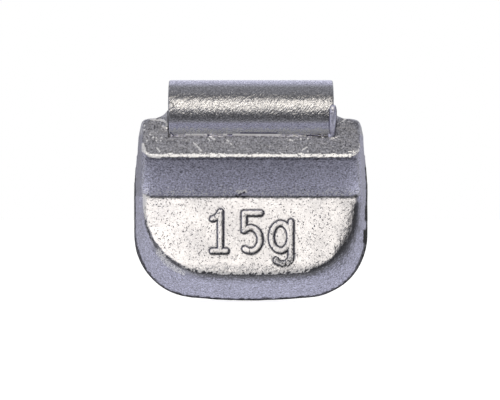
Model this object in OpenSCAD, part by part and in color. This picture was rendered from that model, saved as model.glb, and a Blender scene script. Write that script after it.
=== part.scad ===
// Clip-on balance weight for a steel car wheel.
// A spring steel clip is cast into a zinc body. X runs along the rim, Y points from the
// lettered face to the rim, and Z points away from the wheel's centre. The origin is on the
// axis of the clip's jaw, half way along it.

/* [Rim] */
// Thickness of the rim's lip, which the jaw grips
lip_t = 2.6; // [2.4:0.05:3]
// Hollow radius of the rim's flange, in which the curved back lies
flange_r = 8.6; // [8.4:0.05:9]
// Gap between the curved back and the flange
seat_gap = 0.05; // [0.02:0.01:0.1]
// Distance from the jaw's axis back to the flat seat
seat_y = 7.8; // [7.5:0.05:8]

/* [Plate] */
// Width of the body at the seat
body_w = 23.6; // [22.4:0.1:25]
// Depth of the foot below the jaw's axis
foot_drop = 19.3; // [18.6:0.1:20.5]
// Radius of the long curve of the foot
foot_r = 58; // [40:1:80]
// Radius of the two lower corners
corner_r = 6.3; // [5:0.1:7]
// Thickness of the plate
plate_t = 5.3; // [4.8:0.05:5.5]
// Straight land round the seat, where the die parts
land_t = 0.4; // [0.2:0.05:0.6]
// Draft of the plate's side walls, in degrees
side_draft = 15; // [10:1:18]
// Draft of the foot's wall, in degrees
foot_draft = 30; // [22:1:32]
// Radius of the front edge at the sides
side_edge_r = 0.3; // [0.15:0.05:0.8]
// Radius of the front edge at the foot
foot_edge_r = 0.6; // [0.4:0.05:1.2]

/* [Nose] */
// Width of the nose's front edge
nose_w = 20.7; // [20:0.1:21.4]
// Depth of the nose's front edge below the jaw's axis
nose_drop = 5; // [4.8:0.05:5.3]
// How far the nose's front edge stands before the jaw's axis
nose_reach = 1.5; // [1.3:0.05:1.7]
// Lean of the top face from upright, in degrees
top_lean = 20.5; // [19:0.5:27]
// Slope of the underside band from level, in degrees
band_slope = 43.5; // [40:0.5:46]
// Draft of the nose's side walls, in degrees
nose_draft = 7.8; // [7:0.1:8.5]
// Radius of the nose's lower corners
nose_corner_r = 1.15; // [0.8:0.05:1.6]
// Radius of the nose's two upper corners
top_corner_r = 0.65; // [0.4:0.05:0.9]

/* [Clip] */
// Width of the steel strip
clip_w = 15.7; // [14:0.1:17]
// Thickness of the steel strip
strip_t = 1.1; // [0.9:0.05:1.2]
// Angle from the jaw's front down to where the leg leaves the curl
leg_angle = 40; // [38:1:48]
// Length of the leg from the curl to its cast-in end
leg_len = 8.5; // [7:0.1:9]
// Angle on the flange's curve that the tongue covers
tongue_angle = 27; // [20:1:32]
// Inner radius of the tongue's upturned tip
tip_r = 1.2; // [0.8:0.1:2]
// Angle that the tip turns up
tip_angle = 35; // [20:1:50]
// Radius of the two anchor holes in the leg
anchor_r = 1.4; // [1:0.1:1.8]
// Distance between the anchor holes' centres
anchor_pitch = 7.6; // [5:0.1:9]
// Distance from the curl along the leg to the anchor holes
anchor_at = 5.2; // [4.5:0.1:6]

/* [Cast webs] */
// Thickness of the webs that climb the clip's edges
web_t = 0.6; // [0.4:0.05:0.9]
// Gap between the webs and the rim's lip
web_gap = 0.3; // [0.25:0.05:0.4]
// How far a web spreads along the nose from the clip's edge
web_spread = 1.8; // [1:0.1:2.4]
// How far the left web climbs the clip's edge above the nose's top
left_web_climb = 0.85; // [0.4:0.05:1.1]
// How far the right web climbs the clip's edge above the nose's top
right_web_climb = 0.55; // [0.3:0.05:1.1]
// Radius of the cast bead that climbs the clip's right edge
bead_r = 0.3; // [0.2:0.02:0.4]
// Height of the bead's tip above the jaw's axis
bead_top = -0.35; // [-0.5:0.05:0.4]
// Length of the bead down the leg from the curl
bead_foot = 2.2; // [1.8:0.1:2.6]

/* [Hidden] */

$fn = 96;
fine_fn = 360;
skin = 0.01;
reach = 40;
edge_steps = 4;

// The jaw's circle lies in the middle of the rim's lip, and the flange curves about one centre.
jaw_r = lip_t / 2;
curl_r = jaw_r + strip_t;
back_r = flange_r - seat_gap;
flange_y = seat_y - back_r;
flange_z = -sqrt(pow(flange_r + jaw_r, 2) - pow(flange_y, 2));
tongue_r = flange_r + lip_t;
tongue_start = atan2(-flange_y, -flange_z);

face_y = seat_y - plate_t;
wall_h = plate_t - land_t;
// Both lofts run past the seat, where the body's section trims them.
spare = 1;
nose_depth = nose_reach + seat_y + spare / 2;

// Direction of the leg from the curl down into the body, in Y and Z
leg_way = [sin(leg_angle), -cos(leg_angle)];

// Height of the nose's top edge, where the top face meets the curved back
function top_face_y(z) = -nose_reach + (z + nose_drop) * tan(top_lean);
function back_z(y) = flange_z + sqrt(pow(back_r, 2) - pow(y - flange_y, 2));
top_edge_z = back_z(top_face_y(back_z(0)));

// Sideways place of a drafted wall with a rounded edge, at a depth below the face
function wall_out(depth, draft, r) =
    depth < r * (1 - sin(draft))
        ? r * tan(draft) - r / cos(draft) + sqrt(r * r - pow(r - depth, 2))
        : depth * tan(draft);

// Point of the jaw's section at a radius and at an angle below the front
function below_front(r, angle) = [-r * cos(angle), -r * sin(angle)];

// Lays a section drawn in Y and Z along X
module along_rim(length) {
    rotate([90, 0, 90])
        linear_extrude(length, center = true)
            children();
}

// Lays an outline drawn in X and Z into a slice that starts at a depth along Y
module slice_at(y, thick = skin) {
    translate([0, y + thick, 0])
        rotate([90, 0, 0])
            linear_extrude(thick)
                children();
}

// Ring sector from one angle to another, measured from the section's first axis
module ring_sector(inner, outer, from, to) {
    far = outer * 2;
    difference() {
        intersection() {
            circle(outer);
            polygon(concat([[0, 0]], [for (i = [0:4]) let (a = from + (to - from) * i / 4) far * [cos(a), sin(a)]]));
        }
        circle(inner);
    }
}

// Plate outline with a curved foot and tangent corners
module plate_outline(side_in, foot_in) {
    half_w = body_w / 2 - side_in;
    foot_z = -foot_drop + foot_in;
    corner_x = half_w - corner_r;
    corner_z = foot_z + foot_r - sqrt(pow(foot_r - corner_r, 2) - pow(corner_x, 2));
    intersection() {
        union() {
            for (side = [-1, 1])
                translate([side * corner_x, corner_z])
                    circle(corner_r);
            translate([-half_w, corner_z])
                square([2 * half_w, spare - corner_z]);
            translate([-corner_x, foot_z])
                square([2 * corner_x, corner_z - foot_z]);
        }
        translate([0, foot_z + foot_r])
            circle(foot_r, $fn = fine_fn);
    }
}

// Plate, lofted from its face down to the land round the seat
module plate_loft() {
    edge_depth = foot_edge_r * (1 - sin(foot_draft));
    depths = [for (i = [0:edge_steps]) edge_depth * pow(i / edge_steps, 2)];
    side_in = wall_h * tan(side_draft);
    foot_in = wall_h * tan(foot_draft);
    hull() {
        for (depth = depths)
            slice_at(face_y + depth)
                plate_outline(
                    side_in - wall_out(depth, side_draft, side_edge_r),
                    foot_in - wall_out(depth, foot_draft, foot_edge_r)
                );
        slice_at(seat_y - land_t, land_t + spare)
            plate_outline(0, 0);
    }
}

// Outline of the nose at one depth. Its top lies just above the edge that the top face leaves.
module nose_outline(w, drop) {
    top_z = top_edge_z + skin;
    for (side = [-1, 1]) {
        translate([side * (w / 2 - nose_corner_r), nose_corner_r - drop])
            circle(nose_corner_r, $fn = 32);
        translate([side * (w / 2 - top_corner_r), top_z - top_corner_r])
            circle(top_corner_r, $fn = 32);
    }
    translate([-w / 2, nose_corner_r - drop])
        square([w, drop - nose_corner_r + top_z - top_corner_r]);
    translate([top_corner_r - w / 2, nose_corner_r - drop])
        square([w - 2 * top_corner_r, drop - nose_corner_r + top_z]);
}

// Nose, lofted from its front edge back past the seat
module nose_loft() {
    hull() {
        slice_at(-nose_reach)
            nose_outline(nose_w, nose_drop);
        slice_at(-nose_reach + nose_depth)
            nose_outline(nose_w + 2 * nose_depth * tan(nose_draft), nose_drop + nose_depth * tan(band_slope));
    }
}

// Section that trims the top face, the curved back and the seat
module body_section() {
    intersection() {
        union() {
            translate([flange_y, flange_z])
                circle(back_r, $fn = fine_fn);
            translate([-reach, -reach])
                square([reach + seat_y, reach + flange_z]);
        }
        polygon([
            [top_face_y(-reach), -reach],
            [reach, -reach],
            [reach, reach],
            [top_face_y(reach), reach]
        ]);
    }
}

// Strip section: cast-in leg, curl round the jaw, tongue along the flange and upturned tip.
// The curl is two quarter rings and the tongue two sectors, which overlap half way along.
module clip_section() {
    lap_angle = 0.75 * tongue_angle;
    rotate(180 + leg_angle) {
        translate([jaw_r, 0])
            square([strip_t, leg_len]);
        ring_sector(jaw_r, curl_r, -90, 0);
    }
    rotate(90 - tongue_start) {
        ring_sector(jaw_r, curl_r, 0, 90);
        translate([-flange_r - jaw_r, 0]) {
            ring_sector(tongue_r, tongue_r + strip_t, -lap_angle, 0);
            rotate(-tongue_angle) {
                ring_sector(tongue_r, tongue_r + strip_t, 0, lap_angle);
                translate([tongue_r + strip_t + tip_r, 0])
                    ring_sector(tip_r, tip_r + strip_t, 180, 180 + tip_angle);
            }
        }
    }
}

// Holes through the cast-in leg, which the zinc fills
module anchor_holes() {
    for (side = [-1, 1])
        rotate([leg_angle, 0, 0])
            translate([side * anchor_pitch / 2, 0, -anchor_at])
                rotate([90, 0, 0])
                    cylinder(r = anchor_r, h = curl_r + strip_t);
}

module strip() {
    difference() {
        along_rim(clip_w)
            clip_section();
        anchor_holes();
    }
}

// Web of cast metal that climbs one edge of the clip, drawn for the side +X
module cast_web(climb) {
    edge_x = clip_w / 2;
    intersection() {
        rotate([90, 0, 0])
            linear_extrude(2 * reach, center = true)
                polygon([
                    [edge_x, -curl_r],
                    [edge_x, top_edge_z + climb],
                    [edge_x + web_spread / 4, top_edge_z + climb / 3],
                    [edge_x + web_spread, top_edge_z - web_t / 2],
                    [edge_x + web_spread, -curl_r]
                ]);
        along_rim(body_w)
            ring_sector(jaw_r + web_gap, jaw_r + web_gap + web_t, 180, 280);
    }
}

// Bead of cast metal along the clip's right edge
module edge_bead() {
    foot = below_front(curl_r, leg_angle) + bead_foot * leg_way;
    along_curl = [for (angle = [leg_angle, leg_angle / 2, asin(-bead_top / curl_r)]) below_front(curl_r, angle)];
    path = concat([foot], along_curl);
    for (i = [1:len(path) - 1])
        hull()
            for (p = [path[i - 1], path[i]])
                translate([clip_w / 2, p[0], p[1]])
                    sphere(bead_r, $fn = 20);
}

module weight_body() {
    color([0.62, 0.62, 0.66])
        difference() {
            union() {
                intersection() {
                    union() {
                        plate_loft();
                        nose_loft();
                    }
                    along_rim(body_w + 2)
                        body_section();
                }
                cast_web(right_web_climb);
                mirror([1, 0, 0])
                    cast_web(left_web_climb);
                edge_bead();
            }
            strip();
        }
}

module spring_clip() {
    color([0.74, 0.73, 0.73])
        strip();
}

weight_body();
spring_clip();
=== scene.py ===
"""Looks of a clip-on wheel balance weight: a cast zinc body with a raised mark, and a spring steel clip."""

import math

import bmesh
import bpy
import numpy as np
from mathutils import Matrix, Vector
from mathutils.noise import fractal


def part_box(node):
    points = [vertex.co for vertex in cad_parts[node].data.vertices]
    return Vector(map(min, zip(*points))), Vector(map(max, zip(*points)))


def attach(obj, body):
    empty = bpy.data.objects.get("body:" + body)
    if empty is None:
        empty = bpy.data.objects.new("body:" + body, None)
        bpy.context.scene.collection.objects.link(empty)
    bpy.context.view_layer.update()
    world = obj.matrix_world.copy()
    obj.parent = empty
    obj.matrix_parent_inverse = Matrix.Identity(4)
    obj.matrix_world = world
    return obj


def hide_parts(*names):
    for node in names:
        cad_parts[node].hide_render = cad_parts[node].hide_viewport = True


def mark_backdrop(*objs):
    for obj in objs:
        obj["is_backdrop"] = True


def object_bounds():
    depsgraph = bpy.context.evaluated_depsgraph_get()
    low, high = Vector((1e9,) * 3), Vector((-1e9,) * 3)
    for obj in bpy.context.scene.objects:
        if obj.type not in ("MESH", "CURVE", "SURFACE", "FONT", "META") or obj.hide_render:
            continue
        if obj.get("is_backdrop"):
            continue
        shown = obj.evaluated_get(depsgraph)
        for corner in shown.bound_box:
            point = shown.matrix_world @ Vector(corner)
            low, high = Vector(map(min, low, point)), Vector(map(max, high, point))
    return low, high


bl_info = {
    "name": "Wheel balance weight",
    "version": (1, 0, 0),
    "blender": (4, 5, 0),
    "location": "3D View > Sidebar > Balance weight",
    "description": "Builds the cast body, the spring clip, the stage and the lights",
    "category": "Object",
}

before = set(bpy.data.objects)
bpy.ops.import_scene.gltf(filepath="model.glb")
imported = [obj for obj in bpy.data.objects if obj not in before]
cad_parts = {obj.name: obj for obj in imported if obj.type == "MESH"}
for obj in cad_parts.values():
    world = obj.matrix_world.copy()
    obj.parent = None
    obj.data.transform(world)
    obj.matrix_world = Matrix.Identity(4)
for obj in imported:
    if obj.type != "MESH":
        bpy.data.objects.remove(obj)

# Lengths in this script are in millimetres unless a name says otherwise.
MM = 1000.0
FACE_Y = 2.5
NOSE_Y = -1.5
NOSE_Z = -5.0
TOP_LEAN = 20.5
BAND_SLOPE = 43.5
CLIP_EDGE = 7.85
CURL_R = 2.4
LEG_ANGLE = 40.0
BEAD_X = 7.76
BEAD_STEPS = 60
CAMERA_AT = (-0.087, -145.0, -9.13)
LENS = 108.6
SENSOR = 36.0
# Height of the lamp's and the hood's middle, in metres.
LAMP_Z = -0.009

# Strokes of the raised mark on the face, in X and Z.
ONE = (
    ((-3.74, -10.98), (-3.32, -10.86), (-2.99, -10.32)),
    ((-2.973, -10.304), (-2.973, -14.118)),
    ((-3.76, -14.118), (-2.39, -14.118)),
)
FIVE_LINE = ((0.94, -10.42), (-0.655, -10.42), (-0.655, -12.06))
FIVE_BOWL = (-0.04, -12.99, 0.96, 1.14, 130.0, -125.0)
G_BOWL = (2.92, -12.75, 0.91, 1.33, 0.0, 360.0)
G_STEM = ((3.92, -11.28), (3.92, -14.70))
G_TAIL = (3.14, -14.70, 0.78, 0.65, 0.0, -150.0)
# Scratches and burrs on the top face, in X and Z, painted bright as their highlights.
SCRATCHES = (
    ((-5.50, -3.59), (-4.74, -4.44)),
    ((-4.08, -3.29), (-3.80, -3.56)),
    ((-3.91, -3.07), (-3.48, -3.34)),
    ((-2.28, -3.40), (-1.81, -3.87)),
    ((-8.96, -4.17), (-8.52, -4.72), (-8.47, -4.94)),
    ((4.84, -4.43), (5.38, -4.05)),
    ((3.74, -3.33), (4.23, -3.65)),
    ((9.06, -1.38), (8.28, -1.85)),
)
# Painted highlight along the lower edge of the left web.
WEB_EDGE = (((-9.64, -1.34), (-9.16, -1.38), (-8.69, -1.44), (-8.30, -1.55), (-8.11, -1.72), (-8.02, -1.96)),)
# Thin flash where the clip goes into the body, painted bright as its highlight, and the painted shadows in
# the gaps beside it.
ROOT_FLASH = (
    ((-6.22, -2.88), (-5.85, -2.89)),
    ((-5.67, -2.88), (-4.62, -2.88)),
    ((-4.43, -2.88), (-4.25, -2.88)),
    ((-2.58, -2.88), (-2.32, -2.88)),
    ((-1.71, -2.88), (2.79, -2.92)),
)
FLASH_WIDTH = 0.118
ROOT_GAP_SHADOWS = (
    ((-7.70, -2.65), (-7.35, -3.02)),
    ((-4.18, -2.88), (-4.00, -3.02)),
    ((-2.26, -2.88), (-1.81, -2.88)),
    ((-0.98, -2.73), (2.50, -2.74)),
    ((5.37, -2.95), (6.88, -3.07), (7.40, -3.07)),
)
# Wide crescent of painted highlight at the left end of the nose's front edge.
CRESCENT_HIGHLIGHT = (((-10.23, -4.08), (-10.04, -4.56), (-9.70, -4.89), (-9.23, -5.00), (-8.66, -5.02)),)
# Rough patch outside the face's lower left corner, painted with mottled highlights.
PATCH = (((-9.05, -14.30), (-8.35, -15.20), (-7.60, -15.90), (-6.75, -16.35)),)
# Burr painted as a bright highlight, with its dark pits, where the slanting band meets the face.
BURR = (
    ((-1.40, -8.30), (-1.25, -8.18)),
    ((-1.20, -8.45), (-1.00, -8.25), (-0.92, -8.36)),
    ((-0.75, -8.25), (-0.55, -8.18), (-0.43, -8.38)),
)
BURR_PITS = (
    ((-1.40, -8.70), (-1.28, -8.86)),
    ((-1.12, -8.62), (-0.95, -8.52)),
    ((-0.85, -8.82), (-0.60, -8.84)),
    ((-0.72, -8.42), (-0.60, -8.36)),
)
# Small curved nick near the left end of the clip.
NICK = (((-7.68, 0.12), (-7.52, 0.10), (-7.40, -0.02), (-7.33, -0.22)),)
# Small spots on the top face, painted bright as glints.
SPOTS = (
    (-9.67, -2.85), (-9.35, -3.15), (-9.04, -3.18), (-8.52, -3.18), (-10.22, -1.97),
    (-10.22, -2.41), (-9.01, -3.45), (-8.63, -3.45), (4.78, -3.30), (5.44, -3.27),
    (6.86, -3.17), (5.44, -4.48), (-9.93, -3.44), (-6.73, -2.88), (-6.11, -2.88),
)
# Colours of marks and worn places, and of painted shade and painted highlights.
PIT = (0.10, 0.10, 0.12, 1.0)
CREASE_SHADE = (0.10, 0.10, 0.115, 1.0)
EDGE_SHADE_COLOR = (0.05, 0.05, 0.055, 1.0)
SHADE_BLACK = (0.012, 0.012, 0.014, 1.0)
BRIGHT = (0.95, 0.95, 1.0, 1.0)
RUBBED_ZINC = (0.72, 0.71, 0.72, 1.0)
RUBBED_STEEL = (0.55, 0.55, 0.60, 1.0)
STEEL_PIT = (0.16, 0.16, 0.18, 1.0)
# Levels of the hood by the angle from the lamp's axis, as shares of half a turn.
HOOD_ABOVE = ((0.56, 0.52), (0.63, 0.60), (0.72, 0.95), (1.0, 1.05))
HOOD_BELOW = (
    (0.0, 0.5), (0.17, 0.42), (0.22, 0.28), (0.28, 0.13), (0.33, 0.11), (0.38, 0.22), (0.45, 0.46),
    (0.66, 1.0), (0.76, 0.92), (1.0, 0.30),
)
HOOD_LEFT = ((0.0, 0.9), (0.20, 1.0), (0.35, 0.50), (0.80, 0.76), (0.91, 0.26), (1.0, 0.2))
HOOD_RIGHT = ((0.0, 0.3), (0.20, 0.20), (0.40, 0.26), (0.80, 0.80), (0.91, 0.34), (1.0, 0.2))


def arc_points(cx, cz, rx, rz, start, end, count=40):
    """Points of an elliptic arc, angles in degrees."""
    angles = [math.radians(start + (end - start) * i / count) for i in range(count + 1)]
    return tuple((cx + rx * math.cos(a), cz + rz * math.sin(a)) for a in angles)


def mark_strokes():
    """All strokes of the raised mark as lists of points."""
    strokes = list(ONE)
    strokes.append(FIVE_LINE)
    strokes.append(arc_points(*FIVE_BOWL))
    strokes.append(arc_points(*G_BOWL))
    strokes.append(G_STEM)
    strokes.append(arc_points(*G_TAIL))
    return strokes


def offset_from_lines(p, lines):
    """Offset of each 2-D point in p from the nearest point on the lines."""
    best = np.full(len(p), 1e9)
    offset = np.zeros_like(p)
    for points in lines:
        for a, b in zip(points[:-1], points[1:]):
            a = np.array(a)
            step = np.array(b) - a
            t = np.clip(((p - a) @ step) / max(step @ step, 1e-9), 0.0, 1.0)
            away = p - a - t[:, None] * step
            d = np.linalg.norm(away, axis=1)
            nearer = d < best
            best[nearer] = d[nearer]
            offset[nearer] = away[nearer]
    return offset


def distance_to_lines(p, lines):
    """Distance of each 2-D point in p to the nearest of the lines."""
    return np.linalg.norm(offset_from_lines(p, lines), axis=1)


def smooth(value, low, high):
    """Smooth step from 0 at low to 1 at high."""
    t = np.clip((value - low) / (high - low), 0.0, 1.0)
    return t * t * (3.0 - 2.0 * t)


def uneven(co, size, seed, octaves=3):
    """Soft noise between about -1 and 1 at each vertex, with features of the given size."""
    offset = Vector((seed * 7.31, seed * 3.77, seed * 5.19))
    values = [fractal(Vector(c) / size + offset, 0.6, 2.0, octaves) for c in co]
    return np.array(values)


# Meshes


def new_object(name, data):
    """A new object in the scene."""
    obj = bpy.data.objects.new(name, data)
    bpy.context.scene.collection.objects.link(obj)
    return obj


def copy_of_node(node, name):
    """A copy of a CAD node's mesh as a new object, in millimetres."""
    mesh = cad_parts[node].data.copy()
    mesh.name = name
    mesh.materials.clear()
    mesh.transform(Matrix.Scale(MM, 4))
    return new_object(name, mesh)


def remeshed(obj, voxel):
    """Rebuilds the object's mesh as an even skin of small faces."""
    modifier = obj.modifiers.new("skin", "REMESH")
    modifier.mode = "VOXEL"
    modifier.voxel_size = voxel
    modifier.adaptivity = 0.0
    depsgraph = bpy.context.evaluated_depsgraph_get()
    evaluated = obj.evaluated_get(depsgraph)
    mesh = bpy.data.meshes.new_from_object(evaluated)
    old = obj.data
    obj.modifiers.clear()
    obj.data = mesh
    mesh.name = obj.name
    bpy.data.meshes.remove(old)
    return obj


def coords(mesh):
    """Vertex places as an array."""
    co = np.empty(len(mesh.vertices) * 3)
    mesh.vertices.foreach_get("co", co)
    return co.reshape(-1, 3)


def normals(mesh):
    """Vertex normals as an array."""
    no = np.empty(len(mesh.vertices) * 3)
    mesh.vertex_normals.foreach_get("vector", no)
    return no.reshape(-1, 3)


def edge_pairs(mesh):
    """Vertex pairs of the mesh's edges."""
    pairs = np.empty(len(mesh.edges) * 2, dtype=np.int64)
    mesh.edges.foreach_get("vertices", pairs)
    return pairs.reshape(-1, 2)


def relax(co, pairs, weight, times):
    """Moves vertices towards the mean of their neighbours, by a weight between 0 and 1."""
    count = np.bincount(pairs.ravel(), minlength=len(co)).astype(float)
    count = np.maximum(count, 1.0)[:, None]
    w = np.asarray(weight).reshape(-1, 1)
    for _ in range(times):
        total = np.zeros_like(co)
        for axis in range(co.shape[1]):
            total[:, axis] += np.bincount(pairs[:, 0], co[pairs[:, 1], axis], len(co))
            total[:, axis] += np.bincount(pairs[:, 1], co[pairs[:, 0], axis], len(co))
        co = co + w * (total / count - co)
    return co


def refined(mesh, inside):
    """Cuts each edge with both ends inside the region in two."""
    bm = bmesh.new()
    bm.from_mesh(mesh)
    bm.verts.ensure_lookup_table()
    edges = [e for e in bm.edges if inside[e.verts[0].index] and inside[e.verts[1].index]]
    bmesh.ops.subdivide_edges(bm, edges=edges, cuts=1, use_grid_fill=True)
    bm.to_mesh(mesh)
    bm.free()


def store(mesh, co):
    """Writes vertex places back."""
    mesh.vertices.foreach_set("co", co.ravel())
    mesh.update()


def add_values(mesh, **values):
    """Stores values for the vertices under their names, for the materials."""
    for name, value in values.items():
        attribute = mesh.attributes.new(name, "FLOAT", "POINT")
        each = np.broadcast_to(np.asarray(value, dtype=np.float32), len(mesh.vertices))
        attribute.data.foreach_set("value", np.ascontiguousarray(each))


def bulge_of(co, no, pairs):
    """How far each vertex stands out of its neighbours: above 0 on edges, below 0 in creases."""
    total = np.zeros(len(co))
    step = co[pairs[:, 1]] - co[pairs[:, 0]]
    length = np.maximum(np.linalg.norm(step, axis=1), 1e-6)
    total += np.bincount(pairs[:, 0], -(step * no[pairs[:, 0]]).sum(axis=1) / length, len(co))
    total += np.bincount(pairs[:, 1], (step * no[pairs[:, 1]]).sum(axis=1) / length, len(co))
    count = np.maximum(np.bincount(pairs.ravel(), minlength=len(co)), 1)
    bulge = total / count
    for _ in range(2):
        near = np.bincount(pairs[:, 0], bulge[pairs[:, 1]], len(co))
        near += np.bincount(pairs[:, 1], bulge[pairs[:, 0]], len(co))
        bulge = 0.5 * bulge + 0.5 * near / count
    return bulge


def fit_box(co, low, high):
    """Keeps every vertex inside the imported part's box."""
    return np.clip(co, np.array(low) * MM + 0.004, np.array(high) * MM - 0.004)


def new_mesh(name, verts, faces):
    """A mesh from vertex places and faces."""
    mesh = bpy.data.meshes.new(name)
    mesh.from_pydata(verts, [], faces)
    mesh.update()
    return mesh


def shade_smooth(mesh):
    """Shades all faces of the mesh smooth."""
    mesh.polygons.foreach_set("use_smooth", np.ones(len(mesh.polygons), dtype=bool))


def finished(obj, material):
    """Turns the mesh back to metres, shades it smooth and gives it its material."""
    mesh = obj.data
    mesh.transform(Matrix.Scale(1.0 / MM, 4))
    shade_smooth(mesh)
    mesh.materials.append(material)
    mesh.update()
    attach(obj, "root")


# Shader groups


def new_group(name, values, output):
    """A shader node group that takes coordinates and some values, and gives one value."""
    group = bpy.data.node_groups.new(name, "ShaderNodeTree")
    group.interface.new_socket(name="Vector", in_out="INPUT", socket_type="NodeSocketVector")
    for label, value in values.items():
        socket = group.interface.new_socket(name=label, in_out="INPUT", socket_type="NodeSocketFloat")
        socket.default_value = value
    group.interface.new_socket(name=output, in_out="OUTPUT", socket_type="NodeSocketFloat")
    return group, add_node(group, "NodeGroupInput").outputs, add_node(group, "NodeGroupOutput")


def feed(tree, node, inputs):
    """Links outputs to a node's inputs, or sets the inputs to values."""
    for name, value in inputs.items():
        if isinstance(value, bpy.types.NodeSocket):
            tree.links.new(value, node.inputs[name])
        else:
            node.inputs[name].default_value = value


def add_node(tree, kind, inputs=None, **values):
    """Adds a node, sets its properties and feeds its inputs."""
    node = tree.nodes.new(kind)
    for key, value in values.items():
        setattr(node, key, value)
    feed(tree, node, inputs or {})
    return node


def math_node(tree, operation, a, b=0.0, clamp=False):
    """A math node whose inputs are sockets or numbers."""
    return add_node(tree, "ShaderNodeMath", {0: a, 1: b}, operation=operation, use_clamp=clamp).outputs[0]


def product(tree, a, b):
    """The product of two values."""
    return math_node(tree, "MULTIPLY", a, b)


def centred(tree, value, strength):
    """A value that lies round 0.5, moved to lie round 0 and made stronger."""
    return product(tree, math_node(tree, "SUBTRACT", value, 0.5), strength)


def ramp(tree, value, low, high, out_low=0.0, out_high=1.0):
    """Maps a value from one span to another, clamped."""
    spans = {"Value": value, "From Min": low, "From Max": high, "To Min": out_low, "To Max": out_high}
    return add_node(tree, "ShaderNodeMapRange", spans, clamp=True).outputs["Result"]


def noise_node(tree, vector, scale, detail=2.0, rough=0.5):
    """A noise texture on the given coordinates."""
    inputs = {"Vector": vector, "Scale": scale, "Detail": detail, "Roughness": rough}
    return add_node(tree, "ShaderNodeTexNoise", inputs).outputs["Fac"]


def grain_group():
    """Fine grain of a cast or rolled surface, as a height."""
    group, given, end = new_group("fine_grain", {"Scale": 9.0}, "Height")
    feed(group, end, {"Height": noise_node(group, given["Vector"], given["Scale"], 3.0, 0.6)})


def speck_group():
    """Small ragged pits, as a mask of 1 in a pit."""
    group, given, end = new_group("specks", {"Scale": 5.0, "Limit": 0.66}, "Mask")
    fine = noise_node(group, given["Vector"], given["Scale"], 2.0, 0.55)
    over = math_node(group, "SUBTRACT", fine, given["Limit"])
    feed(group, end, {"Mask": math_node(group, "MULTIPLY", over, 22.0, clamp=True)})


def streak_group():
    """Stretched grain in one direction, as a height."""
    group, given, end = new_group("streaks", {"Turn": 0.0, "Stretch": 4.0, "Scale": 6.0}, "Height")
    turned = {"Vector": given["Vector"], "Angle": given["Turn"]}
    turn = add_node(group, "ShaderNodeVectorRotate", turned, rotation_type="Y_AXIS")
    parts = add_node(group, "ShaderNodeSeparateXYZ", {"Vector": turn.outputs["Vector"]}).outputs
    shorter = math_node(group, "DIVIDE", parts["X"], given["Stretch"])
    joined = add_node(group, "ShaderNodeCombineXYZ", {"X": shorter, "Y": parts["Y"], "Z": parts["Z"]})
    feed(group, end, {"Height": noise_node(group, joined.outputs["Vector"], given["Scale"])})


def use_group(tree, name, vector, **values):
    """Adds a shared group to a material and sets its inputs."""
    values["Vector"] = vector
    return add_node(tree, "ShaderNodeGroup", values, node_tree=bpy.data.node_groups[name]).outputs[0]


def mix_color(tree, factor, a, b):
    """Mixes two colours by a factor; each is a socket or a colour."""
    return add_node(tree, "ShaderNodeMix", {0: factor, 6: a, 7: b}, data_type="RGBA").outputs[2]


def start_material(name):
    """A new material, its surface, and coordinates in millimetres."""
    material = bpy.data.materials.new(name)
    material.use_nodes = True
    tree = material.node_tree
    place = add_node(tree, "ShaderNodeTexCoord").outputs["Object"]
    scaled = add_node(tree, "ShaderNodeVectorMath", {0: place, "Scale": MM}, operation="SCALE")
    return material, tree, tree.nodes["Principled BSDF"], scaled.outputs["Vector"]


def value_of(tree, name):
    """A value stored on the mesh's vertices."""
    node = add_node(tree, "ShaderNodeAttribute", attribute_type="GEOMETRY", attribute_name=name)
    return node.outputs["Fac"]


def bump_chain(tree, heights):
    """Bump nodes one after the other, from (height, distance in mm, strength)."""
    inputs = {}
    for height, distance, strength in heights:
        inputs.update({"Strength": strength, "Distance": distance / MM, "Height": height})
        inputs["Normal"] = add_node(tree, "ShaderNodeBump", inputs).outputs["Normal"]
    return inputs["Normal"]


def toned(tree, settings, grain):
    """The bare metal's colour, tinted by the painted violet reflection, times the mesh's tone of painted
    light and shade, with a fine mottle that is weaker where it is calm.
    """
    color = mix_color(tree, value_of(tree, "violet"), (*settings.metal, 1.0), (*settings.violet, 1.0))
    spread = ramp(tree, grain, 0.3, 0.7, -settings.mottle, settings.mottle)
    less = ramp(tree, value_of(tree, "calm"), -1.0, 1.0, 1.8, 0.2)
    spread = math_node(tree, "ADD", product(tree, spread, less), 1.0)
    tone = product(tree, value_of(tree, "tone"), spread)
    strong = add_node(tree, "ShaderNodeVectorMath", {0: color, "Scale": tone}, operation="SCALE")
    return strong.outputs["Vector"]


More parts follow.
